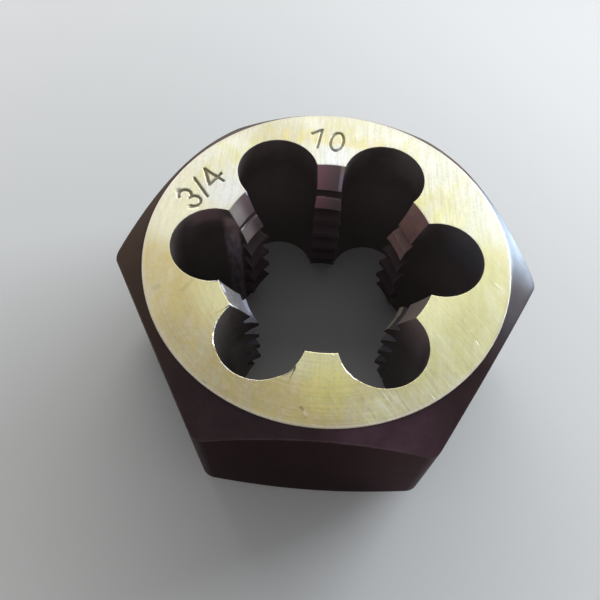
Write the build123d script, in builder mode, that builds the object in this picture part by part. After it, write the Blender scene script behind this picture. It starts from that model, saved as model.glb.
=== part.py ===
"""Hex rethreading die for a 3/4-10 thread, made of one piece of tool steel.

A slice of hexagon bar, turned at both ends to a round face with a cone behind it, is bored,
threaded right-handed and opened by a ring of round flutes, which leave narrow toothed lands.
Millimetres, +Z up the thread axis, corners of the hexagon on the X axis, origin at the centre
of the bottom face.
"""
from build123d import *
from math import ceil, cos, floor, radians, sin, tan
import os

# Hexagon body
hexagon_sides = 6
across_flats = 36.5
thickness = 19.05
corner_radius = 1.4
face_diameter = 34.8
end_cone_angle = 45.0

# Thread, in the proportions of the 60 degree unified form
major_diameter = 19.05
thread_pitch = 2.54
flank_half_angle = 30.0
root_flat = thread_pitch / 8
crest_flat = thread_pitch / 4
thread_depth = (thread_pitch - root_flat - crest_flat) / 2 / tan(radians(flank_half_angle))
minor_radius = major_diameter / 2 - thread_depth
first_groove_depth = 2.9
first_groove_bearing = 90.0
cutter_overlap = thread_depth / 4
groove_span_share = 0.8

# Tapered lead, the same at both faces
lead_mouth_diameter = 21.2
lead_half_angle = 25.0

# Flutes that clear the chips
flute_count = 6
flute_diameter = 8.2
flute_ring_radius = 10.85
first_flute_bearing = 0.0

# Size numerals cut into the starting face, each group set by its inset from the rim,
# its bearing round the axis and its lean from square to the radius
stroke_width = 0.38
stroke_depth = 0.15
digit_height = 2.85
digit_width = 1.68
one_flag_reach_share = 0.55
one_flag_drop_share = 0.45
three_upper_sweep = 243.0
three_lower_sweep = 262.0
four_bar_drop_share = 0.37
four_stem_shift_share = 0.5
four_bar_reach_share = 1.4
fraction_bar_lean_share = 0.7
pitch_mark_inset = 3.47
pitch_mark_bearing = 92.0
pitch_mark_lean = -11.0
pitch_mark_spacing = 1.85
diameter_mark_inset = 2.87
diameter_mark_bearing = 153.0
diameter_mark_lean = -6.0
diameter_mark_spacing = 1.69

# Derived sizes
face_radius = face_diameter / 2
corner_reach = across_flats / 2 / cos(radians(180 / hexagon_sides))
cone_reach = corner_reach - face_radius
cone_height = cone_reach / tan(radians(end_cone_angle))
lead_mouth_radius = lead_mouth_diameter / 2
lead_depth = (lead_mouth_radius - minor_radius) / tan(radians(lead_half_angle))
land_pitch_angle = 360 / flute_count
groove_span = groove_span_share * land_pitch_angle
half_height = (digit_height - stroke_width) / 2
half_width = (digit_width - stroke_width) / 2


def groove_height(bearing):
    """Height of the middle of the first groove at a bearing: the helix rises anticlockwise."""
    return thickness - first_groove_depth + thread_pitch * (bearing - first_groove_bearing) / 360


def groove_places():
    """Start of each length of groove, in the open flute before its land, over the whole height."""
    places = []
    for land in range(flute_count):
        bearing = first_flute_bearing + (land + 0.5) * land_pitch_angle - groove_span / 2
        height = groove_height(bearing)
        highest = ceil((thickness - height) / thread_pitch)
        lowest = floor(-height / thread_pitch)
        for turn in range(lowest, highest + 1):
            places.append(Location((0, 0, height + turn * thread_pitch), (0, 0, bearing)))
    return places


def mark_plane(inset, bearing, lean, shift):
    """Plane of one numeral on the starting face, its top towards the rim."""
    ring = face_radius - inset
    along = radians(bearing - 90 + lean)
    x = ring * cos(radians(bearing)) + shift * cos(along)
    y = ring * sin(radians(bearing)) + shift * sin(along)
    return Plane(origin=(x, y, thickness), x_dir=(cos(along), sin(along), 0), z_dir=(0, 0, 1))


def pitch_mark_plane(shift):
    """Plane of one numeral of the threads-per-inch mark."""
    return mark_plane(pitch_mark_inset, pitch_mark_bearing, pitch_mark_lean, shift)


def diameter_mark_plane(shift):
    """Plane of one numeral of the nominal-diameter mark."""
    return mark_plane(diameter_mark_inset, diameter_mark_bearing, diameter_mark_lean, shift)


def pen_stroke(*points):
    """Round-ended stroke through a chain of points."""
    with BuildLine(mode=Mode.PRIVATE) as path:
        Polyline(*points)
    SlotArc(path.wire(), stroke_width)


def pen_arc(center, radius, start, sweep_angle):
    """Round-ended stroke along part of a circle."""
    with BuildLine(mode=Mode.PRIVATE) as path:
        CenterArc(center, radius, start, sweep_angle)
    SlotArc(path.wire(), stroke_width)


def numeral_one():
    """Stem with a short flag that slopes down to its left."""
    flag_end = (-digit_width * one_flag_reach_share, half_height - digit_width * one_flag_drop_share)
    pen_stroke((0, -half_height), (0, half_height))
    pen_stroke((0, half_height), flag_end)


def numeral_zero():
    """Upright oval ring."""
    Ellipse(digit_width / 2, digit_height / 2)
    Ellipse(digit_width / 2 - stroke_width, digit_height / 2 - stroke_width, mode=Mode.SUBTRACT)


def numeral_three():
    """Two open bowls, one above the other."""
    bowl = half_height / 2
    pen_arc((0, bowl), bowl, -90, three_upper_sweep)
    pen_arc((0, -bowl), bowl, 90, -three_lower_sweep)


def fraction_bar():
    """Slanted bar as tall as the digits."""
    top = half_width * fraction_bar_lean_share
    pen_stroke((-top, -half_height), (top, half_height))


def numeral_four():
    """Stem right of the middle, crossbar below the middle, and the slope that joins them."""
    reach = half_width * four_bar_reach_share
    stem = half_width * four_stem_shift_share
    bar = -half_height * four_bar_drop_share
    pen_stroke((stem, -half_height), (stem, half_height))
    pen_stroke((stem, half_height), (-reach, bar))
    pen_stroke((-reach, bar), (reach, bar))


with BuildPart() as groove_cutter:
    # One length of thread groove, from open flute to open flute, carried inwards past the bore
    inner_radius = minor_radius - cutter_overlap
    half_root = root_flat / 2
    half_mouth = half_root + (major_diameter / 2 - inner_radius) * tan(radians(flank_half_angle))
    with BuildLine():
        Helix(thread_pitch, thread_pitch * groove_span / 360, minor_radius)
    with BuildSketch(Plane.XZ):
        with BuildLine():
            Polyline(
                (inner_radius, -half_mouth),
                (major_diameter / 2, -half_root),
                (major_diameter / 2, half_root),
                (inner_radius, half_mouth),
                close=True,
            )
        make_face()
    sweep(is_frenet=True)

with BuildPart() as die_body:
    # Slice of hexagon bar with eased corners
    with BuildSketch():
        RegularPolygon(across_flats / 2, hexagon_sides, major_radius=False)
    extrude(amount=thickness)
    fillet(die_body.edges().filter_by(Axis.Z), corner_radius)

    # Round faces with a cone behind each, its straight slope drawn as a spline
    with BuildSketch(Plane.XZ):
        with BuildLine():
            Polyline((face_radius, 0), (0, 0), (0, thickness), (face_radius, thickness))
            Bezier((face_radius, thickness), (corner_reach, thickness - cone_height))
            Line((corner_reach, thickness - cone_height), (corner_reach, cone_height))
            Bezier((corner_reach, cone_height), (face_radius, 0))
        make_face()
    revolve(axis=Axis.Z, mode=Mode.INTERSECT)

    # Bore at the minor diameter with a tapered lead at each face
    with BuildSketch(Plane.XZ):
        with BuildLine():
            Polyline(
                (0, 0),
                (lead_mouth_radius, 0),
                (minor_radius, lead_depth),
                (minor_radius, thickness - lead_depth),
                (lead_mouth_radius, thickness),
                (0, thickness),
                close=True,
            )
        make_face()
    revolve(axis=Axis.Z, mode=Mode.SUBTRACT)

    # Flutes right through
    with BuildSketch():
        with PolarLocations(flute_ring_radius, flute_count, first_flute_bearing):
            Circle(flute_diameter / 2)
    extrude(amount=thickness, mode=Mode.SUBTRACT)

    # Helical thread groove over the whole height of every land
    with Locations(*groove_places()):
        add(groove_cutter.part, mode=Mode.SUBTRACT)

    # Size numerals: threads per inch at one land, nominal diameter at another
    for numeral, shift in ((numeral_one, -0.5), (numeral_zero, 0.5)):
        with BuildSketch(pitch_mark_plane(shift * pitch_mark_spacing)):
            numeral()
    for numeral, shift in ((numeral_three, -1), (fraction_bar, 0), (numeral_four, 1)):
        with BuildSketch(diameter_mark_plane(shift * diameter_mark_spacing)):
            numeral()
    extrude(amount=-stroke_depth, mode=Mode.SUBTRACT)

die_body.part.label = "die_body"
os.makedirs("parts", exist_ok=True)
export_step(die_body.part, "parts/die_body.step")
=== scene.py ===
"""Hex rethreading die, dressed: ground end faces, black oxide outside and in the flutes, worn edges.

The die is one closed surface, worked out on a grid that is a ring in both directions: its columns
run round the thread axis and its rows run up the bore wall, out over the starting face, down the
outside and back in under the back face. Sizes are in millimetres until the mesh is filled, and
angles are in degrees.
"""

import bpy
import numpy as np
from mathutils import Matrix, Vector


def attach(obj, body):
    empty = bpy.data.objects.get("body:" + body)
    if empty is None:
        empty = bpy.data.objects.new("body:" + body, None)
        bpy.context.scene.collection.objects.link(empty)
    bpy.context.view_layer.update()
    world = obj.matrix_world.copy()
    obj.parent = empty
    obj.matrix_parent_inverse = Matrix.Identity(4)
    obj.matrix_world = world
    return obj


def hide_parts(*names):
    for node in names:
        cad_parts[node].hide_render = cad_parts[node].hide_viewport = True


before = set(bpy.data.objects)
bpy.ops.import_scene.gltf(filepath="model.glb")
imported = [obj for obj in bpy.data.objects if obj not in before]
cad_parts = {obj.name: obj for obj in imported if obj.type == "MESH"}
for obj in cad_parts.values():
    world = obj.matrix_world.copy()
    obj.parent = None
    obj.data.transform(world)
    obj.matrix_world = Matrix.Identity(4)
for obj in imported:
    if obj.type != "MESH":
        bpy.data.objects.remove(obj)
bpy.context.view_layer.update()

# Hexagon body
ACROSS_FLATS = 36.5
THICKNESS = 19.05
CORNER_RADIUS = 1.4
FACE_RADIUS = 17.4

# Thread
MAJOR_RADIUS = 9.525
PITCH = 2.54
HALF_ROOT = PITCH / 16
FLANK_SLOPE = np.tan(np.radians(30))
THREAD_DEPTH = PITCH * (1 - 1 / 8 - 1 / 4) / 2 / FLANK_SLOPE
MINOR_RADIUS = MAJOR_RADIUS - THREAD_DEPTH
FIRST_GROOVE_DEPTH = 2.9
FIRST_GROOVE_BEARING = 90
GROOVES = 6

# Tapered lead
LEAD_MOUTH = 10.6
LEAD_SLOPE = np.tan(np.radians(25))

# Flutes, on the line of the hexagon's corners, with a land between each two. To each side of its
# middle, the sweep is the angle that a flute takes at its own centre, and the spread on the outside.
FLUTES = 6
SIXTH = 360 / FLUTES
TWELFTH = SIXTH / 2
FLUTE_RADIUS = 4.1
FLUTE_RING = 10.85
FLUTE_SWEEP = 104.4
FLUTE_SPREAD = 22.0

# Size numerals: the strokes, and the shares and angles that give each digit its form
STROKE_WIDTH = 0.36
STROKE_DEPTH = 0.15
STROKE_WALL = 0.1
DIGIT_HEIGHT = 2.85
DIGIT_WIDTH = 1.68
FLAG_REACH, FLAG_DROP = 0.55, 0.45
UPPER_BOWL_SWEEP, LOWER_BOWL_SWEEP = 243, 262
BAR_LEAN = 0.7
CROSSBAR_REACH, CROSSBAR_DROP, STEM_SHIFT = 1.4, 0.37, 0.5

# Inset from the rim, bearing, lean from square to the radius and spacing of the digits of each mark
PITCH_MARK = (3.47, 92.0, -11.0, 1.85)
DIAMETER_MARK = (2.87, 153.0, -6.0, 1.69)
MARKS_BEARING = 123
MARKS_REACH = 45

# Softness of the edges, and how far a softened edge's middle row is drawn towards the sharp corner
BORE_EDGE = 0.05
THREAD_EDGE = 0.025
RIM_EDGE = 0.045
FACE_EDGE = 0.04
HEX_EDGE = 0.09
CORNER_BULGE = 0.35

# Spacing of the rows on the bore wall
RIM_STEP = 0.1
LEAST_STEP = 0.01
LEAST_MOUTH = 0.06
SPARE_HALF_MOUTH = 0.15
SLANT_DEPTH = 1.5
ROWS_BELOW, ROWS_BETWEEN, ROWS_ABOVE = 8, 3, 9

# Spacing of the rows outside and on the two faces, as shares of the way
CONE_STEPS = (0.12, 0.3, 0.5, 0.7, 0.88)
FLAT_STEPS = (0.2, 0.4, 0.6, 0.8)
FACE_STEPS = np.concatenate([
    [0.0, 0.015, 0.06, 0.12, 0.18, 0.23],
    np.linspace(0.245, 0.81, 56),
    [0.85, 0.89, 0.93, 0.96, 0.98, 1.0],
])
BACK_STEPS = np.array([0.0, 0.02, 0.1, 0.25, 0.4, 0.55, 0.7, 0.85, 0.96, 1.0])

# Step in from a flat's edges, and the angle between a cutting edge's column and the next
ARRIS_STEP = 0.25
CORNER_GAP = 0.1

# Worn stretches of the bore's rim at the starting face: the flute's bearing, the angles at its
# centre where the stretch starts and ends, the extra width, the look and how strong it is
RIM_STRETCHES = [
    (240, -90, -36, 0.16, "filed", 1.0),
    (240, -30, 45, 0.07, "filed", 0.5),
    (240, -122, -90, 0.16, "filed", 1.0),
    (180, 80, 113, 0.08, "filed", 1.0),
    (120, 92, 113, 0.10, "filed", 1.0),
    (300, -98, -60, 0.15, "filed", 0.8),
    (240, 56, 83, 0.20, "chipped", 1.0),
]
STRETCH_RISE, STRETCH_FALL, CHIP_FALL = 14, 9, 4

# Wear of the edges, 1 where the finish is worn through, and more where a painted glint lies on the
# bare steel
ARRIS_WEAR = 0.15
CORNER_WEAR, CORNER_WEAR_REACH = 0.22, 2.4
LAND_EDGE_WEAR = 0.5
LEAST_RIM_WEAR = 0.3
GLINT_WEAR, GLINT_BEARING, GLINT_DEPTH = 1.6, 240 - FLUTE_SPREAD, 0.85


def cosd(degrees):
    """Cosine of an angle in degrees."""
    return np.cos(np.radians(degrees))


def sind(degrees):
    """Sine of an angle in degrees."""
    return np.sin(np.radians(degrees))


def smooth(x):
    """Smooth step: 3x^2 - 2x^3 of x held between 0 and 1."""
    x = np.clip(x, 0, 1)
    return x * x * (3 - 2 * x)


def ring(radius, bearing, height):
    """Points round the axis: the radius times the cosine and sine of the bearing, and the height."""
    radius = np.broadcast_to(radius, bearing.shape)
    height = np.broadcast_to(height, bearing.shape)
    return np.stack([radius * cosd(bearing), radius * sind(bearing), height], -1)


def straight_rows(start, end, steps):
    """Rows of points at the given shares of the straight way from one row to another."""
    return start + (end - start) * steps[:, None, None]


def eased(before, after, corner):
    """A row on a softened edge: half way between its neighbours, drawn towards the sharp corner."""
    middle = (before + after) / 2
    return middle + CORNER_BULGE * (corner - middle)


# The bore wall

def groove_centre(bearing):
    """Height of a groove's middle: a straight line in the bearing that climbs one pitch a turn."""
    return THICKNESS - FIRST_GROOVE_DEPTH + PITCH * (bearing - FIRST_GROOVE_BEARING) / 360


def wall_radius(bearing, height):
    """Radius of a land: the largest of the plain bore, two lead cones and the thread groove, whose
    radius falls along 30 degree flanks with the distance from the middle of the nearest groove."""
    away = np.abs(np.mod(height - groove_centre(bearing) + PITCH / 2, PITCH) - PITCH / 2)
    groove = MAJOR_RADIUS - np.maximum(away - HALF_ROOT, 0) / FLANK_SLOPE
    upper_lead = LEAD_MOUTH - (THICKNESS - height) * LEAD_SLOPE
    lower_lead = LEAD_MOUTH - height * LEAD_SLOPE
    return np.maximum.reduce([groove, upper_lead, lower_lead, np.full_like(groove, MINOR_RADIUS)])


def between(low, high, count):
    """Rows strictly between two rows, closer together towards both: the share of the way is half of
    one less the cosine of an angle that goes evenly from 0 to 180 degrees."""
    share = (1 - cosd(180 * np.arange(1, count + 1)[:, None] / (count + 1))) / 2
    return low + (high - low) * share


def groove_rows(centre, reach):
    """Eight heights for a groove, one column for each land: beside and below its two mouth edges,
    half way down its flanks and at the ends of its root. The mouth edges are where the flanks' lines
    meet the nearest line of bore or lead cone, up to the thread's reach. A groove that the lead has
    cut away keeps its rows, a small spare distance apart."""
    root_top = centre + HALF_ROOT
    root_bottom = centre - HALF_ROOT
    flank = 1 / FLANK_SLOPE
    gap = MAJOR_RADIUS - LEAD_MOUTH
    top = np.minimum.reduce([
        np.full_like(centre, reach),
        root_top + THREAD_DEPTH * FLANK_SLOPE,
        (gap + root_top * flank + THICKNESS * LEAD_SLOPE) / (flank + LEAD_SLOPE),
        (gap + root_top * flank) / (flank - LEAD_SLOPE),
    ])
    bottom = np.maximum.reduce([
        np.full_like(centre, THICKNESS - reach),
        root_bottom - THREAD_DEPTH * FLANK_SLOPE,
        (root_bottom * flank - gap - THICKNESS * LEAD_SLOPE) / (flank - LEAD_SLOPE),
        (root_bottom * flank - gap) / (flank + LEAD_SLOPE),
    ])
    middle = (top + bottom) / 2
    absent = top - bottom < LEAST_MOUTH
    top = np.where(absent, middle + SPARE_HALF_MOUTH, top)
    bottom = np.where(absent, middle - SPARE_HALF_MOUTH, bottom)
    root_top = np.clip(root_top, bottom + 4 * LEAST_STEP, top - 2 * LEAST_STEP)
    root_bottom = np.clip(root_bottom, bottom + 2 * LEAST_STEP, root_top - LEAST_STEP)
    ease_top = np.minimum(THREAD_EDGE, 0.3 * (top - root_top))
    ease_bottom = np.minimum(THREAD_EDGE, 0.3 * (root_bottom - bottom))
    return np.array([
        bottom - THREAD_EDGE,
        bottom + ease_bottom,
        (bottom + root_bottom) / 2,
        root_bottom,
        root_top,
        (top + root_top) / 2,
        top - ease_top,
        top + THREAD_EDGE,
    ])


def land_heights():
    """Heights of the wall's rows, one column for each land: from rim to rim, the rows of every
    groove, each a pitch above the last, with rows between them."""
    first = groove_centre(TWELFTH + SIXTH * np.arange(FLUTES))
    reach = THICKNESS - (LEAD_MOUTH - MAJOR_RADIUS) / LEAD_SLOPE
    first = first - PITCH * np.ceil(np.maximum(first - reach, 0) / PITCH)
    lowest = np.full((1, FLUTES), RIM_EDGE)
    below = lowest + RIM_STEP
    rows = [lowest, below]
    fill = ROWS_BELOW
    for turn in reversed(range(GROOVES)):
        groove = groove_rows(first - turn * PITCH, reach)
        rows += [between(below, groove[:1], fill), groove]
        below = groove[-1:]
        fill = ROWS_BETWEEN
    last = np.full((1, FLUTES), THICKNESS - RIM_EDGE)
    rows += [between(below, last - RIM_STEP, ROWS_ABOVE), last - RIM_STEP, last]
    return np.concatenate(rows)


def land_wall(land, share, heights, trim):
    """Points of one land: at each row the land runs between the bearings where its radius meets the
    flutes' circles, less a trim for the worn edge, and a share of that run gives the bearing. Its
    radius depends on its bearing through the helix, so the two are worked out in turn."""
    middle = TWELFTH + SIXTH * land
    row = heights[:, land][:, None]
    slant = PITCH / 360 * smooth(np.minimum(row, THICKNESS - row) / SLANT_DEPTH)
    radius = np.full((len(row), len(share)), MINOR_RADIUS)
    for _ in range(5):
        spread = (FLUTE_RING**2 + radius**2 - FLUTE_RADIUS**2) / (2 * FLUTE_RING * radius)
        spread = np.degrees(np.arccos(spread)) + np.degrees(trim / radius)
        bearing = middle + (TWELFTH - spread) * (2 * share - 1)
        height = row + slant * (bearing - middle)
        radius = wall_radius(bearing, height)
    return ring(radius, bearing, height), ring(1, bearing, 0)


def flute_wall(flute, turn, start, end):
    """Points of one flute: a circle about the flute's centre, between the two lands' ends. The
    height goes straight from one end to the other, so that rows join up with both lands."""
    middle = SIXTH * flute
    share = (turn + 1) / 2
    reach = np.where(turn < 0, np.hypot(start[..., 0], start[..., 1])[:, None],
                     np.hypot(end[..., 0], end[..., 1])[:, None])
    angle = (reach**2 - FLUTE_RING**2 - FLUTE_RADIUS**2) / (2 * FLUTE_RING * FLUTE_RADIUS)
    limit = np.degrees(np.arccos(angle)) - np.degrees(BORE_EDGE / FLUTE_RADIUS)
    angle = np.sign(turn) * (FLUTE_SWEEP * np.abs(turn) + (limit - FLUTE_SWEEP) * turn**4)
    outward = ring(1, middle + angle, 0)
    points = outward * FLUTE_RADIUS + ring(FLUTE_RING, np.array(middle), 0)
    points[..., 2] = start[..., 2][:, None] * (1 - share) + end[..., 2][:, None] * share
    return points, outward


def column_shares():
    """Where the columns of each flute lie, from -1 to 1, and of each land, from 0 to 1: close
    together at the hexagon's corners, at the edges, under the numerals of lands 1 and 2 and the
    flutes beside them, and by the worn rim of flute 4."""
    half = np.concatenate([
        [0.03, 0.06, 0.0886, 0.12], np.linspace(0.12, 0.955, 17)[1:], [0.98, 1.0]])
    flute = np.concatenate([-half[::-1], [0.0], half])
    flutes = [flute] * FLUTES
    flutes[2] = np.concatenate([[-1.0], np.linspace(-0.98, -0.9, 7), flute[flute > -0.89]])
    flutes[3] = np.concatenate([[-1.0], np.linspace(-0.98, -0.74, 19), flute[flute > -0.73]])
    crowded = [np.linspace(-0.74, 0.4, 52), np.linspace(0.46, 0.6, 4), np.linspace(0.63, 0.84, 14)]
    flutes[4] = np.concatenate([flute[flute < -0.75], *crowded, flute[flute > 0.85]])
    land = np.concatenate([[0.0, 0.035], np.linspace(0.1, 0.9, 9), [0.965, 1.0]])
    lands = [land] * FLUTES
    lands[1] = lands[2] = np.concatenate([[0.0], np.linspace(0.02, 0.98, 56), [1.0]])
    return flutes, lands


def bore_wall():
    """The whole bore wall, row by column, with the direction into the steel, the bearing that each
    column has on the outside, the columns of the cutting edges and the columns of the lands."""
    heights = land_heights()
    flutes, lands = column_shares()
    ends = [land_wall(k, np.array([0.0, 1.0]), heights, 0)[0] for k in range(FLUTES)]
    points, outward, bearing, corner, on_land = [], [], [], [], []
    run = SIXTH - 2 * FLUTE_SPREAD - 2 * CORNER_GAP
    for k in range(FLUTES):
        middle = SIXTH * k
        start, end = middle + FLUTE_SPREAD, middle + SIXTH - FLUTE_SPREAD
        before, after = ends[k - 1][:, 1], ends[k][:, 0]
        p, n = flute_wall(k, flutes[k], before, after)
        points += [p, after[:, None]]
        outward += [n, n[:, -1:]]
        bearing += [middle + (FLUTE_SPREAD - CORNER_GAP) * flutes[k], [start]]
        corner += [np.zeros(len(flutes[k])), [1]]
        on_land += [np.zeros(len(flutes[k])), [0]]
        p, n = land_wall(k, lands[k], heights, BORE_EDGE)
        points += [p, ends[k][:, 1][:, None]]
        outward += [n, n[:, -1:]]
        bearing += [start + CORNER_GAP + run * lands[k], [end]]
        corner += [np.zeros(len(lands[k])), [1]]
        on_land += [np.ones(len(lands[k])), [1]]
    points, outward = np.concatenate(points, 1), np.concatenate(outward, 1)
    bearing = np.concatenate(bearing)
    corner, on_land = np.concatenate(corner).astype(bool), np.concatenate(on_land).astype(bool)
    softened = eased(np.roll(points, 1, 1), np.roll(points, -1, 1), points)
    points = np.where(corner[None, :, None], softened, points)
    turned = np.roll(outward, 1, 1) + np.roll(outward, -1, 1)
    turned /= np.linalg.norm(turned, axis=-1, keepdims=True)
    outward = np.where(corner[None, :, None], turned, outward)
    return points, outward, bearing, corner, on_land


def rim_widths(wall):
    """Width of the softened rim of the bore at the starting face, column by column: a narrow even
    edge, widened over a few stretches of the flutes' arcs by a share that rises and falls smoothly
    and, where it is filed, is uneven by a product of sines. Also how far each column is filed bright
    and how far it is chipped and dark."""
    x, y = wall[-1, :, 0], wall[-1, :, 1]
    width = np.full(len(x), RIM_EDGE)
    looks = {"filed": np.zeros(len(x)), "chipped": np.zeros(len(x))}
    for flute, low, high, extra, look, strength in RIM_STRETCHES:
        chip = look == "chipped"
        across = x - FLUTE_RING * cosd(flute)
        along = y - FLUTE_RING * sind(flute)
        angle = np.mod(np.degrees(np.arctan2(along, across)) - flute + 180, 360) - 180
        fall = CHIP_FALL if chip else STRETCH_FALL
        share = smooth((angle - low) / STRETCH_RISE) * smooth((high - angle) / fall)
        share = share * (np.abs(np.hypot(across, along) - FLUTE_RADIUS) < BORE_EDGE)
        uneven = 0.65 + 0.35 * np.sin(angle * 1.1) * np.sin(angle * 0.47 + 1.0)
        width = width + extra * share * (1 if chip else uneven)
        looks[look] = np.maximum(looks[look], strength * share)
    return width, looks["filed"], looks["chipped"]


# The outside

def corner_angle(bearing):
    """Angle from a bearing to the hexagon's nearest corner."""
    return np.abs(np.mod(bearing + TWELFTH, SIXTH) - TWELFTH)


def hexagon_radius(bearing):
    """Distance from the axis to the rounded hexagon: half the width across flats over the cosine of
    the angle from the flat's middle, or, by a corner, the far meeting with the corner's circle."""
    away = corner_angle(bearing)
    flat = ACROSS_FLATS / 2 / cosd(TWELFTH - away)
    centre = (ACROSS_FLATS / 2 - CORNER_RADIUS) / cosd(TWELFTH)
    inside = np.maximum(CORNER_RADIUS**2 - (centre * sind(away))**2, 0)
    round_corner = centre * cosd(away) + np.sqrt(inside)
    tangent = centre + CORNER_RADIUS * cosd(TWELFTH)
    is_corner = away <= np.degrees(np.arctan2(CORNER_RADIUS * sind(TWELFTH), tangent))
    return np.where(is_corner, round_corner, flat)


def outside_rows(bearing):
    """Rows down the outside, from the starting face's rim to the back face's rim: a 45 degree cone,
    the flats, and the same cone again, with each edge softened over three rows."""
    reach = hexagon_radius(bearing)
    drop = reach - FACE_RADIUS
    slant, rim_slant = HEX_EDGE / np.sqrt(2), FACE_EDGE / np.sqrt(2)
    upper = [ring(FACE_RADIUS + rim_slant, bearing, THICKNESS - rim_slant)]
    upper += [ring(FACE_RADIUS + drop * step, bearing, THICKNESS - drop * step) for step in CONE_STEPS]
    last = ring(reach - slant, bearing, THICKNESS - drop + slant)
    first = ring(reach, bearing, THICKNESS - drop - HEX_EDGE)
    upper += [last, eased(last, first, ring(reach, bearing, THICKNESS - drop)), first]
    upper += [ring(reach, bearing, THICKNESS - drop - ARRIS_STEP)]
    lower = [row * [1, 1, -1] + [0, 0, THICKNESS] for row in reversed(upper)]
    high, low = upper[-1], lower[0]
    flats = [high + (low - high) * step for step in FLAT_STEPS]
    cone, arris = ["cone"] * (len(CONE_STEPS) + 2), ["arris"] * 2
    names = cone + arris + ["flat"] * (len(flats) + 2) + arris + cone
    return np.array(upper + flats + lower), names


# The numerals of the starting face

def arc(centre, radius, start, sweep):
    """Points along a circular arc."""
    angle = start + sweep * np.linspace(0, 1, 25)
    return np.stack([centre[0] + radius * cosd(angle), centre[1] + radius * sind(angle)], -1)


def numeral_strokes():
    """Centre lines of the strokes of 1, 0, 3, the bar and 4, each in its own upright frame."""
    top = (DIGIT_HEIGHT - STROKE_WIDTH) / 2
    side = (DIGIT_WIDTH - STROKE_WIDTH) / 2
    flag = (-DIGIT_WIDTH * FLAG_REACH, top - DIGIT_WIDTH * FLAG_DROP)
    one = [np.array([(0, -top), (0, top), flag])]
    turn = np.linspace(0, 360, 49)
    zero = [np.stack([side * cosd(turn), top * sind(turn)], -1)]
    three = [arc((0, top / 2), top / 2, -90, UPPER_BOWL_SWEEP),
             arc((0, -top / 2), top / 2, 90, -LOWER_BOWL_SWEEP)]
    bar = [np.array([(-side * BAR_LEAN, -top), (side * BAR_LEAN, top)])]
    reach, stem, cross = side * CROSSBAR_REACH, side * STEM_SHIFT, -top * CROSSBAR_DROP
    four = [np.array([(stem, -top), (stem, top), (-reach, cross), (reach, cross)])]
    return one, zero, three, bar, four


def placed(strokes, mark, place):
    """Strokes carried to the starting face: turned to lie across the radius, leant, and shifted by
    their place in the mark times its spacing."""
    inset, bearing, lean, spacing = mark
    along = bearing - 90 + lean
    centre = (FACE_RADIUS - inset) * np.array([cosd(bearing), sind(bearing)])
    centre = centre + place * spacing * np.array([cosd(along), sind(along)])
    turn = np.array([[cosd(along), sind(along)], [-sind(along), cosd(along)]])
    return [centre + stroke @ turn for stroke in strokes]


def stroke_distance(points, strokes):
    """Distance from each point to the nearest piece of any stroke: to the foot of the square from
    the point to the piece, held between the piece's two ends."""
    nearest = np.full(len(points), np.inf)
    for stroke in strokes:
        start, run = stroke[:-1], stroke[1:] - stroke[:-1]
        offset = points[:, None] - start
        share = np.clip((offset * run).sum(-1) / (run * run).sum(-1), 0, 1)
        gap = np.linalg.norm(offset - share[..., None] * run, axis=-1)
        nearest = np.minimum(nearest, gap.min(1))
    return nearest


def numeral_depth(points):
    """Share of the full cut, from 0 to 1: it rises from 0 to 1 across the walls of the strokes."""
    one, zero, three, bar, four = numeral_strokes()
    strokes = placed(one, PITCH_MARK, -0.5) + placed(zero, PITCH_MARK, 0.5)
    for digit, place in ((three, -1), (bar, 0), (four, 1)):
        strokes += placed(digit, DIAMETER_MARK, place)
    bearing = np.degrees(np.arctan2(points[..., 1], points[..., 0]))
    near = np.abs(bearing - MARKS_BEARING) < MARKS_REACH
    inside = STROKE_WIDTH / 2 - stroke_distance(points[near][:, :2], strokes)
    depth = np.zeros(points.shape[:-1])
    depth[near] = smooth(inside / STROKE_WALL)
    return depth


# The whole surface

def wear_map(names, wall, bearing, corner, filed):
    """Wear of each point: whole on the edges of the faces, slight on the edges of the flats and more
    by the hexagon's corners, half on the lands' cutting edges, beyond whole for a painted glint at the
    top of one of them, and on the starting face's bore rim as far as that is filed."""
    wear = np.zeros((len(names), len(bearing)))
    wear[np.isin(names, ["rim", "edge"])] = 1
    wear[names == "arris"] = ARRIS_WEAR
    by_corner = smooth(1 - corner_angle(bearing) / CORNER_WEAR_REACH)
    wear[np.isin(names, ["flat", "arris"])] += CORNER_WEAR * by_corner
    wear[:, corner] = np.maximum(wear[:, corner], (names == "wall")[:, None] * LAND_EDGE_WEAR)
    top = len(wall)
    edge = np.abs(bearing - GLINT_BEARING).argmin()
    high = wall[:, edge, 2] > THICKNESS - GLINT_DEPTH
    wear[:top, edge - 1:edge + 2] += GLINT_WEAR * high[:, None]
    wear[top] = LEAST_RIM_WEAR + (1 - LEAST_RIM_WEAR) * filed
    wear[top - 1] = wear[top + 1] = filed
    return wear


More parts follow.
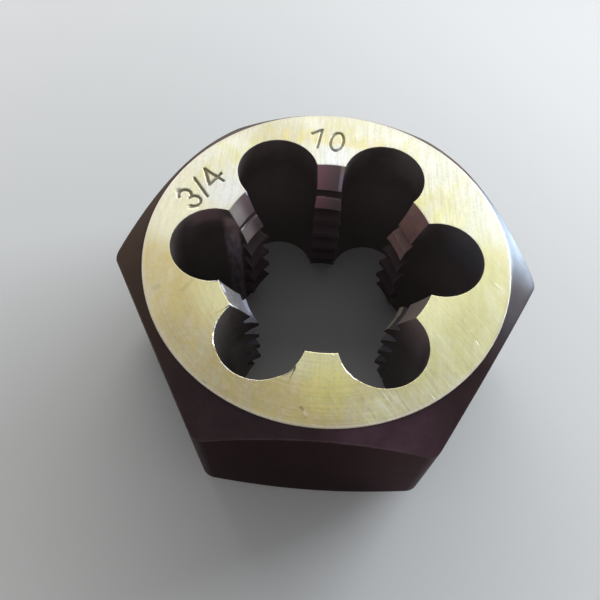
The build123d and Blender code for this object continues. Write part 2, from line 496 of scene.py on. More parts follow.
def die_surface():
    """All rows of the die, from the bottom of the bore wall up, out, down and back in, with their
    names. Also a map of wear, a map of what is cut or chipped, and the columns of the lands."""
    wall, outward, bearing, corner, on_land = bore_wall()
    outside, outside_names = outside_rows(bearing)
    rim, filed, chipped = rim_widths(wall)
    wall[-1, :, 2] = THICKNESS - rim
    wall[-2, :, 2] = THICKNESS - rim - RIM_STEP
    rim_in = wall[-1] * [1, 1, 0] + [0, 0, THICKNESS]
    rim_out = ring(FACE_RADIUS, bearing, THICKNESS)
    seat_out = ring(FACE_RADIUS - FACE_EDGE, bearing, THICKNESS)
    face = straight_rows(rim_in + outward[-1] * rim[:, None], seat_out, FACE_STEPS)
    depth = numeral_depth(face)
    face[..., 2] -= STROKE_DEPTH * depth

    under_in = wall[0] * [1, 1, 0]
    under_out = ring(FACE_RADIUS, bearing, 0)
    under_seat = ring(FACE_RADIUS - FACE_EDGE, bearing, 0)
    back = straight_rows(under_seat, under_in + outward[0] * RIM_EDGE, BACK_STEPS)

    blocks = [
        ("wall", wall),
        ("rim", eased(wall[-1], face[0], rim_in)[None]),
        ("face", face),
        ("edge", eased(face[-1], outside[0], rim_out)[None]),
        ("outside", outside),
        ("edge", eased(outside[-1], back[0], under_out)[None]),
        ("back", back),
        ("rim", eased(back[-1], wall[0], under_in)[None]),
    ]
    points = np.concatenate([rows for _, rows in blocks])
    names = np.concatenate([
        outside_names if name == "outside" else [name] * len(rows) for name, rows in blocks])
    wear = wear_map(names, wall, bearing, corner, filed)
    cut = np.zeros(points.shape[:2])
    cut[names == "face"] = depth
    by_rim = slice(len(wall) - 1, len(wall) + 2)
    cut[by_rim] = np.maximum(cut[by_rim], chipped)
    return points, names, wear, cut, on_land


def ring_mesh(name, points):
    """Mesh of a grid that closes in both directions: each square joins a point with the next in its
    row, the next in its column and the one across, in the order that turns it outwards."""
    rows, columns = points.shape[:2]
    index = np.arange(rows * columns).reshape(rows, columns)
    up, across = np.roll(index, -1, 0), np.roll(index, -1, 1)
    squares = np.stack([up, np.roll(up, -1, 1), across, index], -1).reshape(-1, 4)
    mesh = bpy.data.meshes.new(name)
    mesh.vertices.add(rows * columns)
    mesh.vertices.foreach_set("co", (points * 0.001).ravel())
    mesh.loops.add(squares.size)
    mesh.loops.foreach_set("vertex_index", squares.ravel())
    mesh.polygons.add(len(squares))
    mesh.polygons.foreach_set("loop_start", np.arange(0, squares.size, 4))
    mesh.update(calc_edges=True)
    mesh.validate()
    return mesh


# Nodes

class Value:
    """One output in a tree of nodes. Sums and products of it with numbers or with each other add
    Math nodes."""

    def __init__(self, nodes, socket):
        self.nodes = nodes
        self.socket = socket

    def _math(self, operation, *inputs):
        return self.nodes.node("ShaderNodeMath", {"operation": operation}, *inputs)

    def __add__(self, other):
        return self._math("ADD", self, other)

    def __sub__(self, other):
        return self._math("SUBTRACT", self, other)

    def __rsub__(self, other):
        return self._math("SUBTRACT", other, self)

    def __mul__(self, other):
        return self._math("MULTIPLY", self, other)

    def __truediv__(self, other):
        return self._math("DIVIDE", self, other)

    def __neg__(self):
        return self._math("MULTIPLY", self, -1.0)

    __radd__ = __add__
    __rmul__ = __mul__

    def least(self, other):
        return self._math("MINIMUM", self, other)

    def most(self, other):
        return self._math("MAXIMUM", self, other)

    def size(self):
        return self._math("ABSOLUTE", self)

    def root(self):
        return self._math("SQRT", self)

    def ramp(self, low, high):
        """0 below low, 1 above high, smooth between."""
        settings = {"interpolation_type": "SMOOTHSTEP", "clamp": True}
        return self.nodes.node("ShaderNodeMapRange", settings, self, low, high, 0.0, 1.0)

    def fade(self, low, high):
        """1 below low, 0 above high, smooth between."""
        return 1.0 - self.ramp(low, high)


class Nodes:
    """The nodes of a material or of the world."""

    def __init__(self, owner):
        owner.use_nodes = True
        self.tree = owner.node_tree
        self.tree.nodes.clear()

    def add(self, kind, settings, *inputs, **named):
        """Adds a node: its settings first, then its inputs in order or by name, as links or values."""
        node = self.tree.nodes.new(kind)
        for key, value in settings.items():
            setattr(node, key, value)
        sockets = [socket for socket in node.inputs if socket.enabled]
        for socket, value in zip(sockets, inputs):
            self.feed(socket, value)
        for name, value in named.items():
            self.feed(node.inputs[name], value)
        return node

    def node(self, kind, settings, *inputs, output=None, **named):
        """Adds a node and gives its first output, or the one that is named."""
        node = self.add(kind, settings, *inputs, **named)
        first = next(socket for socket in node.outputs if socket.enabled)
        return Value(self, node.outputs[output] if output else first)

    def feed(self, socket, value):
        """Links a socket to a value's output, or sets it to a number, a vector or a colour."""
        if isinstance(value, Value):
            self.tree.links.new(value.socket, socket)
        else:
            socket.default_value = value


class Finish(Nodes):
    """A material being made: its shader, and the piece's own coordinates in millimetres."""

    def __init__(self, name):
        self.material = bpy.data.materials.new(name)
        super().__init__(self.material)
        self.shader = self.add("ShaderNodeBsdfPrincipled", {})
        self.surface = Value(self, self.shader.outputs["BSDF"])
        self.output = self.add("ShaderNodeOutputMaterial", {}, Surface=self.surface)
        here = self.node("ShaderNodeTexCoord", {}, output="Object")
        self.place = self.vectors("SCALE", here, Scale=1000.0)
        parts = self.add("ShaderNodeSeparateXYZ", {}, self.place)
        self.x, self.y, self.z = (Value(self, part) for part in parts.outputs)

    def set(self, **values):
        """Feeds sockets of the shader by name, with _ for a space."""
        for name, value in values.items():
            self.feed(self.shader.inputs[name.replace("_", " ")], value)

    def vector(self, x, y, z):
        return self.node("ShaderNodeCombineXYZ", {}, x, y, z)

    def vectors(self, operation, *inputs, **named):
        """A Vector Math node; what measures vectors gives a number."""
        output = "Value" if operation in ("DISTANCE", "DOT_PRODUCT", "LENGTH") else "Vector"
        settings = {"operation": operation}
        return self.node("ShaderNodeVectorMath", settings, *inputs, output=output, **named)

    def noise(self, place, scale=1.0, detail=3.0, roughness=0.55):
        named = {"Scale": scale, "Detail": detail, "Roughness": roughness}
        return self.node("ShaderNodeTexNoise", {}, place, **named)

    def mix(self, share, first, second):
        """A colour between two colours."""
        first, second = ((*part, 1.0) if isinstance(part, tuple) else part for part in (first, second))
        settings = {"data_type": "RGBA", "clamp_factor": True}
        return self.node("ShaderNodeMix", settings, share, first, second)

    def layered(self, colour, *layers):
        """A colour with others laid over it in turn, each by its own share."""
        for share, layer in layers:
            colour = self.mix(share, colour, layer)
        return colour

    def attribute(self, name):
        return self.node("ShaderNodeAttribute", {"attribute_name": name}, output="Fac")

    def bump(self, height, distance):
        """A bump of the given depth, in millimetres, for a height between 0 and 1."""
        return self.node("ShaderNodeBump", {}, Strength=1.0, Distance=distance * 0.001, Height=height)

    def marks(self, strokes, wander=0.24):
        """Share of short scratches and nicks: their strength within two fifths of their width of any
        straight stroke from (x0, y0) to (x1, y1), fading out by their width, on lines that noise
        makes wander."""
        shift = self.node("ShaderNodeTexNoise", {}, self.place, Scale=2.2, Detail=3.0, output="Color")
        flat = self.vector(self.x - wander / 2, self.y - wander / 2, 0.0)
        flat = self.vectors("MULTIPLY_ADD", shift, (wander, wander, 0.0), flat)
        marks = []
        for x0, y0, x1, y1, width, strength in strokes:
            run = (x1 - x0, y1 - y0, 0.0)
            offset = self.vectors("SUBTRACT", flat, (x0, y0, 0.0))
            along = self.vectors("DOT_PRODUCT", offset, run) / max(run[0]**2 + run[1]**2, 1e-6)
            foot = self.vectors("SCALE", run, Scale=along.least(1.0).most(0.0))
            gap = self.vectors("DISTANCE", offset, foot)
            marks.append(gap.fade(width * 0.4, width) * strength)
        strongest = marks[0]
        for mark in marks[1:]:
            strongest = strongest.most(mark)
        return strongest

    def spot(self, x, y, near, far):
        """A soft round patch seen from above: 1 within near of a point, 0 beyond far."""
        return self.vectors("DISTANCE", self.vector(self.x, self.y, 0.0), (x, y, 0.0)).fade(near, far)

    def turned(self, degrees, along, across):
        """Coordinates turned about the thread axis and scaled, for lines that run one way."""
        c, s = float(cosd(degrees)), float(sind(degrees))
        u = self.x * c + self.y * s
        v = self.y * c - self.x * s
        return self.vector(u * along, v * across, self.z * 0.2)


# Finishes

# Nicks and scratches of the end faces: start, end, width and strength of each stroke
DARK_NICKS = [
    (-1.45, -15.71, -1.30, -15.84, 0.20, 1.0),
    (-9.98, -13.86, -9.60, -14.16, 0.09, 0.8),
    (6.41, -13.51, 7.66, -15.38, 0.035, 1.0),
    (4.14, -15.29, 4.82, -16.20, 0.035, 1.0),
    (-15.50, -5.24, -15.25, -5.05, 0.36, 0.26),
    (-12.24, -4.19, -13.01, -5.33, 0.26, 0.28),
]
# Bright nicks and burrs of bare steel; some of them are painted glints
BRIGHT_NICKS_AND_GLINTS = [
    (-1.16, -16.05, -1.02, -16.36, 0.17, 0.6),
    (-2.54, -16.47, -2.46, -16.49, 0.10, 0.4),
    (15.70, -2.30, 16.45, -2.98, 0.09, 0.5),
    (13.61, -8.44, 13.82, -8.80, 0.06, 0.8),
    (12.07, -12.05, 12.13, -12.11, 0.06, 0.7),
    (9.54, -13.91, 9.70, -14.12, 0.05, 0.7),
    (13.30, -7.46, 13.34, -7.50, 0.05, 0.5),
    (1.02, -10.76, 1.10, -10.80, 0.12, 1.0),
    (-8.62, -6.50, -8.40, -6.62, 0.14, 1.0),
    (-8.36, 6.62, -8.22, 6.80, 0.20, 1.0),
]

# Bright rubs on the mouths of the left lands' leads, laid on as painted glints, given as the nicks are
LEAD_RUBS_AND_GLINTS = [
    (-9.50, -4.30, -9.17, -4.92, 0.15, 1.0),
    (-8.36, -6.42, -7.95, -6.08, 0.16, 1.0),
    (-8.42, 6.50, -8.20, 6.50, 0.22, 1.0),
]

# Soft patches of the end faces: centre, where the patch starts to fade and where it ends, its
# strength and its colour. The whiter one at the right of the rim is a painted highlight.
FACE_PATCHES = [
    (-14.6, 3.0, 1.5, 5.0, 0.80, (1.0, 0.99, 0.78)),
    (-5.6, 14.4, 1.2, 4.0, 0.50, (0.60, 0.54, 0.34)),
    (-8.5, -13.8, 1.5, 6.5, 0.35, (0.50, 0.41, 0.22)),
    (-10.6, 6.3, 0.8, 3.0, 0.60, (0.88, 0.91, 0.98)),
    (0.2, 11.9, 0.8, 2.4, 0.70, (0.90, 0.92, 0.96)),
    # painted highlight: whiter at the right of the rim
    (15.2, 5.0, 1.5, 5.0, 0.50, (0.95, 0.96, 0.90)),
    (11.7, 4.9, 0.6, 2.2, 0.45, (0.93, 0.90, 0.48)),
    (0.8, -13.75, 1.2, 3.2, 0.40, (0.98, 0.92, 0.28)),
    (0.3, 16.9, 0.8, 3.2, 0.40, (0.76, 0.72, 0.59)),
    (-8.6, 14.9, 0.8, 2.8, 0.35, (0.70, 0.65, 0.54)),
    (5.2, -16.0, 0.8, 2.6, 0.45, (1.0, 1.0, 0.68)),
    (-13.6, -9.9, 0.8, 2.8, 0.40, (0.60, 0.52, 0.34)),
    (-15.4, 6.8, 0.8, 2.6, 0.50, (1.0, 1.0, 0.86)),
]

# Soft patches of the flutes: as on the faces, with the heights between which a patch comes in; with
# the higher one first, it fades upwards
FLUTE_PATCHES = [
    (-8.9, -9.8, 0.6, 2.6, -1.0, 0.0, 0.70, (0.038, 0.040, 0.032)),
    (-12.2, 3.9, 0.8, 2.4, 16.6, 17.6, 1.0, (0.22, 0.14, 0.145)),
    (8.8, -6.9, 0.7, 2.6, 11.0, 16.0, 1.0, (0.25, 0.185, 0.18)),
    # painted bluish sheen on the wall of the right flute
    (14.2, 2.4, 1.0, 3.6, 13.0, 16.0, 0.45, (0.16, 0.165, 0.20)),
    (8.4, 12.1, 0.8, 3.2, 14.0, 16.5, 0.60, (0.20, 0.18, 0.165)),
    (-7.8, -6.1, 0.8, 2.2, 12.0, 9.5, 1.0, (0.26, 0.21, 0.215)),
]


def ground_steel():
    """Surface-ground end face: bright and dull lines left by the wheel, a thin warm film in streaked
    patches, rubbed off by the bore and pinker towards one side, faint turning marks, soft paler and
    browner patches, nicks near the rim, and brown in the cut numerals. Painted light lies over it too:
    a whiter patch at the right of the rim is a painted highlight, the rim band is painted darker on
    the far and right side as painted shade, and some of the bright nicks are painted glints."""
    f = Finish("ground_steel")
    radius = (f.x * f.x + f.y * f.y).root()
    fine = f.noise(f.turned(90, 0.35, 4.5), roughness=0.7)
    coarse = f.noise(f.turned(87, 0.3, 1.6), roughness=0.6)
    crossed = f.noise(f.turned(-54, 0.35, 4.0), roughness=0.65)
    turned = f.noise(f.vector(radius * 3.5, f.x * 0.08, f.y * 0.08), roughness=0.6)
    specks = f.noise(f.place, 3.6, roughness=0.7)
    patches = f.noise(f.turned(90, 0.16, 0.34))
    blots = f.noise(f.turned(90, 0.5, 1.1), roughness=0.6)
    tinge = f.noise(f.place, 1.3, 2.0, 0.5)

    diagonal = 0.7071
    low_right = ((f.x - f.y) * diagonal).ramp(4.0, 13.0)
    low_left = ((f.x + f.y) * -diagonal).ramp(0.0, 13.0)
    upper = f.y.ramp(0.0, 9.0)
    side = f.x.ramp(3.0, 7.0)
    by_bore = radius.fade(11.8, 14.2) * (-f.y).ramp(0.0, 6.0)
    band = (f.y + f.x * 0.072 - 13.9).size().fade(0.2, 1.2) * f.x.size().fade(4.5, 7.0)
    far_rim_shade = f.y.ramp(7.0, 14.0).most(f.x.ramp(13.0, 16.0) * (-f.y).ramp(1.5, 4.0))
    rubbed = f.spot(5.9, -14.6, 0.3, 1.7) * crossed.ramp(0.44, 0.60)

    lines = fine * 0.6 + coarse * 0.4
    lines = lines + (crossed - lines) * (low_right * 0.5)
    lines = lines + (turned - lines) * (low_left * 0.5)
    lines = lines * 0.7 + specks * 0.3
    dull = lines.fade(0.36, 0.60)

    film = patches * 0.7 + (blots - 0.5) * 0.55 + (specks - 0.5) * 0.25 + (coarse - 0.5) * 0.3 + 0.15
    film = film + (1.0 - upper) * 0.10 - upper * (1.0 - side) * radius.fade(11.5, 15.0) * 0.22
    film = film - upper * side * (radius.ramp(13.0, 15.5) * 0.16 - 0.06)
    film = (film - radius.ramp(15.0, 16.5) * 0.06).ramp(0.38, 0.66)

    wear = f.attribute("wear")
    filed = wear * f.noise(f.place, 4.0, 2.0, 0.6).ramp(0.38, 0.52) * radius.fade(15.2, 16.4)
    # bright nicks, some of them painted glints
    bright = f.marks(BRIGHT_NICKS_AND_GLINTS)
    cut = f.attribute("cut").ramp(0.0, 0.45)

    bare = f.mix(low_right, (0.885, 0.88, 0.765), (0.90, 0.87, 0.58))
    bare = f.mix(low_left, bare, (0.81, 0.715, 0.475))
    warm = f.mix(low_left, (0.82, 0.78, 0.41), (0.775, 0.645, 0.305))
    # the rim band: pinkish on the near left, and darker on the far and right side, where the darkening
    # is painted shade
    rim = f.mix(far_rim_shade, (0.92, 0.83, 0.80), (0.62, 0.58, 0.48))
    colour = f.layered(
        f.mix(film, bare, warm),
        (by_bore * 0.7, (0.99, 0.95, 0.56)),
        *((f.spot(x, y, near, far) * share, patch) for x, y, near, far, share, patch in FACE_PATCHES),
        (band * blots.ramp(0.3, 0.6) * 0.65, (0.84, 0.74, 0.36)),
        (tinge.ramp(0.52, 0.72) * 0.22, (0.80, 0.88, 0.60)),
        (tinge.fade(0.28, 0.48) * 0.22, (0.92, 0.78, 0.70)),
        (rubbed * 0.7, (0.97, 0.95, 0.86)),
        (dull * (0.20 + upper * 0.26), (0.46, 0.42, 0.24)),
        (radius.ramp(16.95, 17.35) * 0.45, rim),
        (filed, (0.96, 0.96, 1.0)),
        (f.marks(DARK_NICKS) * 0.5, (0.20, 0.15, 0.11)),
        (bright * 0.5, (0.94, 0.94, 0.96)),
        (cut * (0.72 - f.spot(-0.5, 13.9, 1.8, 3.4) * 0.24), (0.20, 0.16, 0.09)),
    )
    roughness = 0.52 - dull * 0.08 + cut * 0.12 - filed * 0.15
    f.set(Base_Color=colour, Metallic=1.0 - cut * 0.7, Roughness=roughness)
    f.set(Normal=f.bump(lines + bright * 0.5 + filed * 1.5, 0.02))
    return f.material


def worn_oxide(f, dark, light, glancing, roughness, lines):
    """Black oxide: near black with a plum cast, faintly clouded, thinned to grey steel along the
    edges. It mirrors as thin dark metal does, with its own tint at a glancing angle."""
    cloud = f.noise(f.place, 0.35, 4.0, 0.6)
    grain = f.noise(f.place, 6.0, roughness=0.6)
    rub = f.noise(f.place, 1.1, roughness=0.6)
    wear = f.attribute("wear") * (0.25 + rub.ramp(0.36, 0.64) * 0.75)
    colour = f.mix(wear, f.mix(cloud.ramp(0.3, 0.75), dark, light), (0.27, 0.25, 0.245))
    f.set(Base_Color=colour, Metallic=1.0, Roughness=roughness + cloud * 0.10)
    f.set(Specular_Tint=(*glancing, 1.0))
    f.set(Normal=f.bump(grain * 0.5 + lines * 0.5, 0.012))
    return f.material


def turned_oxide():
    """Oxide on the turned cones, with the lathe's rings, which follow the height. Over it lie painted
    reflections: pale and bluish beside one corner, grey-blue below that towards the front, a plum
    sheen on the near right and brown on the left side."""
    f = Finish("turned_oxide")
    rings = f.noise(f.vector(f.x * 0.05, f.y * 0.05, f.z * 4.0), roughness=0.6)
    by_corner = f.x.ramp(14.0, 17.5)
    # painted reflections, each a mask and its colour: a plum sheen on the near right, brown on the
    # left, grey-blue and pale bluish by the right corner
    painted_reflections = (
        (f.spot(6.0, -18.0, 2.0, 7.5), (0.078, 0.043, 0.057)),
        ((-f.x).ramp(11.0, 16.0), (0.043, 0.030, 0.024)),
        (by_corner * f.y.ramp(-13.0, -8.0), (0.056, 0.056, 0.068)),
        (by_corner * f.y.ramp(-2.8, 3.0), (0.270, 0.325, 0.385)),
    )
    tones = []
    for depth in (0.82, 1.18):
        plain = tuple(depth * part for part in (0.039, 0.025, 0.028))
        layers = ((share, tuple(depth * part for part in stain)) for share, stain in painted_reflections)
        tones.append(f.layered(plain, *layers))
    return worn_oxide(f, *tones, (0.87, 0.75, 0.68), 0.37, rings)


def flat_oxide():
    """Oxide on the flats: duller, with the lengthwise grain of drawn bar, and made paler towards the
    near right by painted light.
    """
    f = Finish("flat_oxide")
    grain = f.noise(f.vector(f.x * 2.5, f.y * 2.5, f.z * 0.2), roughness=0.6)
    # painted light: the flats are paler towards the near right
    paler = f.x.ramp(6.0, 15.0) * (-f.y).ramp(3.0, 7.0)
    dark = f.mix(paler, (0.020, 0.0125, 0.0125), (0.040, 0.028, 0.029))
    light = f.mix(paler, (0.031, 0.019, 0.0195), (0.062, 0.045, 0.047))
    return worn_oxide(f, dark, light, (0.60, 0.52, 0.53), 0.34, grain)


def flute_oxide():
    """Oxide inside the flutes: brown-black, with a sheen and faint lines left by the cutter. It has
    softly stained and rubbed patches, among them a painted bluish sheen in the right flute, a painted
    mauve reflection in blotches down one flute's edge and a painted glint by one land's corner, and it
    is paler deep down in the far and right flutes."""
    f = Finish("flute_oxide")
    rings = f.noise(f.vector(f.x * 0.3, f.y * 0.3, f.z * 5.0), roughness=0.6)
    cloud = f.noise(f.place, 0.5, roughness=0.6)
    stain = f.noise(f.place, 0.28, 2.0, 0.5)
    blotch = f.noise(f.vector(f.x * 1.2, f.y * 1.2, f.z * 0.55), roughness=0.6).ramp(0.35, 0.62)
    # painted mauve reflection, in blotches, down the wall of the left flute by one land's edge
    edge = f.spot(-9.6, 3.95, 0.45, 1.25) * f.z.fade(17.2, 18.4)
    mauve = f.mix(f.z.ramp(13.0, 16.5), (0.76, 0.64, 0.78), (0.42, 0.29, 0.28))
    deep = f.y.ramp(2.0, 5.0).most(f.x.ramp(4.0, 8.0)) * f.z.fade(9.0, 17.0)
    wear = f.attribute("wear")
    colour = f.layered(
        f.mix(cloud.ramp(0.35, 0.7), (0.078, 0.062, 0.058), (0.115, 0.086, 0.086)),
        (stain.ramp(0.5, 0.7) * 0.7, (0.080, 0.082, 0.070)),
        *((f.spot(x, y, near, far) * f.z.ramp(low, high) * share, patch)
          for x, y, near, far, low, high, share, patch in FLUTE_PATCHES),
        (edge * (0.35 + blotch * 0.65), mauve),
        (deep * 0.75, (0.26, 0.21, 0.215)),
        (wear * cloud.ramp(0.4, 0.7) * 0.5, (0.16, 0.13, 0.13)),
        # painted glint where the wear map passes 1
        ((wear - 1.0).ramp(0.1, 0.5), (0.95, 0.95, 1.0)),
    )
    f.set(Base_Color=colour, Roughness=0.38 + rings * 0.12, Specular_IOR_Level=0.30)
    f.set(Normal=f.bump(rings, 0.01))
    return f.material


def thread_oxide():
    """Oxide in the thread's grooves: red-black on the far lands and blue-grey on the near ones, worn
    brown on the land to the right, and painted pale blue at one corner of the land on the near left,
    as a painted highlight."""
    f = Finish("thread_oxide")
    cloud = f.noise(f.place, 0.9, roughness=0.6)
    right = f.x.ramp(3.0, 6.0)
    far = f.mix(right * f.z.ramp(13.5, 14.5), (0.060, 0.040, 0.041), (0.23, 0.148, 0.13))
    far = f.mix(f.z.ramp(11.0, 14.0), (0.11, 0.076, 0.082), far)
    near = f.mix(cloud.ramp(0.35, 0.65), (0.062, 0.055, 0.062), (0.088, 0.083, 0.104))
    near = f.mix(right * f.z.ramp(12.5, 13.5), near, (0.050, 0.042, 0.044))
    # painted highlight: pale blue at one corner of the near left land's groove
    corner = f.spot(-7.9, -3.2, 0.9, 2.2) * f.z.ramp(12.7, 13.3)
    colour = f.mix(corner, f.mix(f.y.ramp(-1.0, 1.0), near, far), (0.40, 0.40, 0.53))
    f.set(Base_Color=colour, Roughness=0.42 + cloud * 0.1, Specular_IOR_Level=0.12)
    return f.material


def lead_steel():
    """Relieved lead of the lands, with fine lines across: mauve and brown heat tint on the two far
    lands, with a pale strip on the middle one, brown-grey on the near right one, streaked bare grey on
    the near left one over a crest painted bluish as a painted highlight, and bare pinkish grey on the
    far left one, with painted dark shade along the rounded edge of one groove. Painted glints lie on
    the bright rubs and at one cutting edge."""
    f = Finish("lead_steel")
    lines = f.noise(f.vector(f.x * 0.6, f.y * 0.6, f.z * 7.0), roughness=0.6)
    cloud = f.noise(f.place, 0.6, 2.0, 0.5).ramp(0.35, 0.65)
    streaks = f.noise(f.vector(f.x * 3.0, f.y * 3.0, f.z * 0.5), roughness=0.65).ramp(0.35, 0.65)
    upper, left, right = f.y.ramp(-1.0, 1.0), (-f.x).ramp(3.0, 6.0), f.x.ramp(3.0, 6.0)

    across = f.x / f.y.most(1.0)
    strip = across.ramp(0.085, 0.11) * f.z.ramp(16.0, 16.9)
    rubbed = f.mix(f.z.ramp(17.8, 18.7), (0.50, 0.42, 0.54), (0.45, 0.38, 0.33))
    middle = f.mix(across.ramp(-0.17, 0.10), (0.43, 0.22, 0.25), (0.225, 0.16, 0.172))
    middle = f.mix(strip, middle, rubbed)

    crest = f.mix(f.z.ramp(14.2, 15.1), (0.60, 0.39, 0.35), (0.45, 0.285, 0.25))
    brown = f.mix(cloud, (0.35, 0.20, 0.20), (0.43, 0.26, 0.215))
    brown = f.mix(f.z.ramp(15.2, 15.8), crest, brown)

    corner = (f.x * 0.5 + f.y * 0.866).ramp(-0.5, 0.8)
    pinkish = f.mix(f.z.ramp(15.0, 16.0), (0.68, 0.54, 0.53), (0.52, 0.455, 0.445))
    pinkish = f.mix(f.z.ramp(18.0, 18.8), pinkish, (0.42, 0.375, 0.34))
    pinkish = f.mix(corner, pinkish, (0.27, 0.195, 0.215))
    far = f.mix(left, f.mix(right, middle, brown), pinkish)

    near_right = f.mix(f.z.ramp(14.6, 15.6), (0.60, 0.55, 0.42), (0.47, 0.385, 0.34))
    grey = f.mix(streaks, (0.265, 0.25, 0.25), (0.385, 0.36, 0.36))
    # the near left land: streaked bare grey, and below the lead its crest painted bluish as a painted
    # highlight
    near_left = f.mix(f.z.ramp(15.4, 16.4), (0.37, 0.37, 0.42), grey)
    near = f.mix(left, f.mix(right, (0.20, 0.175, 0.165), near_right), near_left)

    # painted shade: darkens the rounded edge of one groove on the far left land
    ledge_shade = f.spot(-7.9, 4.6, 0.5, 1.3) * (f.z - 16.3).size().fade(0.08, 0.22)
    wear = f.attribute("wear")
    # painted glints: where the wear map passes 1 at one cutting edge, and on the bright rubs
    glint = (wear - 1.0).ramp(0.1, 0.5).most(f.marks(LEAD_RUBS_AND_GLINTS) * f.z.ramp(17.0, 18.0))
    colour = f.layered(
        f.mix(upper, near, far),
        (ledge_shade * 0.8, (0.10, 0.08, 0.085)),
        (wear * 0.5, (0.6, 0.58, 0.6)),
        (glint, (0.97, 0.97, 1.0)),
        (f.z.fade(6.0, 12.0), (0.05, 0.035, 0.036)),
    )
    f.set(Base_Color=colour, Metallic=0.75, Roughness=0.40 + lines * 0.14)
    f.set(Normal=f.bump(lines, 0.012))
    return f.material


# The piece

FINISHES = (ground_steel, turned_oxide, flat_oxide, flute_oxide, thread_oxide, lead_steel)

# How near to the lead's cone a square of a land has to be to take its finish: on most lands, and on
# those left of a line, where more of the lead is bare
LEAD_NEAR, LEAD_NEAR_LEFT, LEFT_OF = 0.008, 0.04, -3
SHARP_ANGLE = 38


def face_finishes(points, names, on_land):
    """Which finish each square has: ground on the two faces, oxide outside, and inside the bore the
    lead's own finish on a land as far down as the first teeth, or else oxide."""
    middle = (points + np.roll(points, -1, 0) + np.roll(points, -1, 1)) / 3
    radius = np.hypot(middle[..., 0], middle[..., 1])
    depth = np.minimum(THICKNESS - middle[..., 2], middle[..., 2])
    off_lead = np.abs(LEAD_MOUTH - depth * LEAD_SLOPE - radius)
    near = np.where(middle[..., 0] > LEFT_OF, LEAD_NEAR, LEAD_NEAR_LEFT)
    land = on_land & (names == "wall")[:, None]
    finish = np.full(land.shape, FINISHES.index(flute_oxide))
    finish[land] = FINISHES.index(thread_oxide)
    finish[land & (off_lead < near)] = FINISHES.index(lead_steel)
    finish[np.isin(names, ["cone", "edge"])] = FINISHES.index(turned_oxide)
    finish[np.isin(names, ["flat", "arris"])] = FINISHES.index(flat_oxide)
    finish[np.isin(names, ["face", "back", "rim"])] = FINISHES.index(ground_steel)
    return finish


def die_piece():
    """The die as one piece, with its finishes and the two maps that they read."""
    points, names, wear, cut, on_land = die_surface()
    mesh = ring_mesh("hex_die", points)
    for finish in FINISHES:
        mesh.materials.append(finish())
    mesh.polygons.foreach_set("material_index", face_finishes(points, names, on_land).ravel())
    for name, values in (("wear", wear), ("cut", cut)):
        mesh.attributes.new(name, "FLOAT", "POINT").data.foreach_set("value", values.ravel())
    mesh.shade_smooth()
    mesh.set_sharp_from_angle(angle=np.radians(SHARP_ANGLE))
    piece = bpy.data.objects.new("hex_die", mesh)
    bpy.context.scene.collection.objects.link(piece)
    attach(piece, "root")
    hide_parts("die_body")


# The studio

ROOM_COLOUR = (0.97, 0.98, 1.0)
ROOM_LEVEL = 0.80
OVERHEAD_LEVEL = 0.16
FLOOR_REACH = 1.2
FLOOR_DROP = 0.00001
LAMP_AIM = (0, 0, 12)


def floor_piece():
    """A wide pale table top just under the die, shaded by a faint cloud. To the camera, and mirrored
    in the die, it fades with its distance into the room's own paleness; it lights as a plain top."""
    f = Finish("pale_table")
    cloud = f.noise(f.place, 0.01, roughness=0.5)
    top = f.mix(cloud, (0.84, 0.835, 0.82), (0.88, 0.875, 0.86))
    f.set(Base_Color=top, Roughness=0.8, Specular_IOR_Level=0.1)
    path = f.add("ShaderNodeLightPath", {})
    seen, mirrored, through = (
        Value(f, path.outputs[f"Is {kind} Ray"]) for kind in ("Camera", "Glossy", "Transmission"))
    far = f.vectors("LENGTH", f.place).ramp(32.0, 120.0) * seen.most(mirrored).most(through)
    paleness = f.node("ShaderNodeEmission", {}, Color=(*ROOM_COLOUR, 1.0), Strength=ROOM_LEVEL)
    f.feed(f.output.inputs["Surface"], f.node("ShaderNodeMixShader", {}, far, f.surface, paleness))
    mesh = bpy.data.meshes.new("table_top")
    sides = ((-1, -1), (1, -1), (1, 1), (-1, 1))
    corners = [(x * FLOOR_REACH, y * FLOOR_REACH, -FLOOR_DROP) for x, y in sides]
    mesh.from_pydata(corners, [], [(0, 1, 2, 3)])
    mesh.materials.append(f.material)
    floor = bpy.data.objects.new("table_top", mesh)
    bpy.context.scene.collection.objects.link(floor)


def lamp(name, place, size, power, colour):
    """A rectangular soft lamp of a width and height, at a place, that faces the die."""
    data = bpy.data.lights.new(name, "AREA")
    data.shape = "RECTANGLE"
    data.size, data.size_y = (side * 0.001 for side in size)
    data.energy = power
    data.color = colour
    light = bpy.data.objects.new(name, data)
    away = Vector(place) - Vector(LAMP_AIM)
    light.rotation_mode = "QUATERNION"
    light.rotation_quaternion = away.to_track_quat("Z", "Y")
    light.location = Vector(place) * 0.001
    bpy.context.scene.collection.objects.link(light)


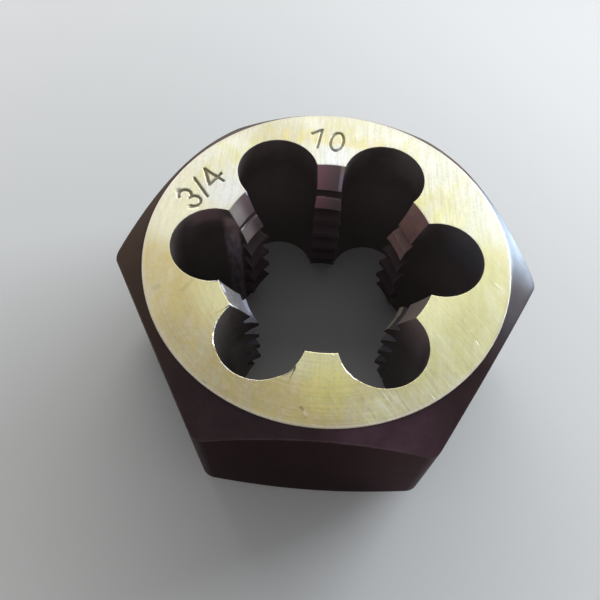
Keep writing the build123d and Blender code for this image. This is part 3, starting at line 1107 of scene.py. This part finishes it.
def studio():
    """A pale even room, brighter round the sides than overhead, and two soft lamps beyond the die,
    a low one to the right and a wide high one."""
    world = bpy.data.worlds.new("room")
    bpy.context.scene.world = world
    room = Nodes(world)
    toward = room.node("ShaderNodeTexCoord", {}, output="Generated")
    height = room.node("ShaderNodeSeparateXYZ", {}, toward, output="Z")
    settings = {"interpolation_type": "SMOOTHSTEP"}
    level = room.node("ShaderNodeMapRange", settings, height, 0.1, 0.75, ROOM_LEVEL, OVERHEAD_LEVEL)
    light = room.node("ShaderNodeBackground", {}, Color=(*ROOM_COLOUR, 1.0), Strength=level)
    room.add("ShaderNodeOutputWorld", {}, Surface=light)
    lamp("window", (200, 165, 66), (200, 130), 1.03, (0.84, 0.92, 1.0))
    lamp("skylight", (-20, 340, 285), (520, 230), 0.695, (1.0, 1.0, 0.98))


# The camera, at the angle of the photograph

CAMERA_AZIMUTH = 1.212
CAMERA_ELEVATION = 61.056
CAMERA_ROLL = 2.92
CAMERA_DISTANCE = 79.05
CAMERA_SHIFT = (2.088, -4.568)
CAMERA_LENS = 39.41


def camera():
    """A camera whose back points along the azimuth and elevation, rolled about that line."""
    back = Vector((sind(CAMERA_AZIMUTH) * cosd(CAMERA_ELEVATION),
                   -cosd(CAMERA_AZIMUTH) * cosd(CAMERA_ELEVATION), sind(CAMERA_ELEVATION)))
    level = Vector((0, 0, 1)).cross(back).normalized()
    upright = back.cross(level)
    c, s = float(cosd(CAMERA_ROLL)), float(sind(CAMERA_ROLL))
    right = level * c + upright * s
    up = upright * c - level * s
    place = (back * CAMERA_DISTANCE - right * CAMERA_SHIFT[0] - up * CAMERA_SHIFT[1]) * 0.001
    data = bpy.data.cameras.new("camera")
    data.sensor_width = 36.0
    data.lens = CAMERA_LENS
    data.clip_start = 0.001
    data.clip_end = 10.0
    seat = bpy.data.objects.new("camera", data)
    turn = Matrix((right, up, back)).transposed().to_4x4()
    seat.matrix_world = Matrix.Translation(place) @ turn
    bpy.context.scene.collection.objects.link(seat)
    bpy.context.scene.camera = seat


die_piece()
floor_piece()
studio()
camera()
bpy.context.scene.view_settings.view_transform = "Standard"

bpy.context.view_layer.update()
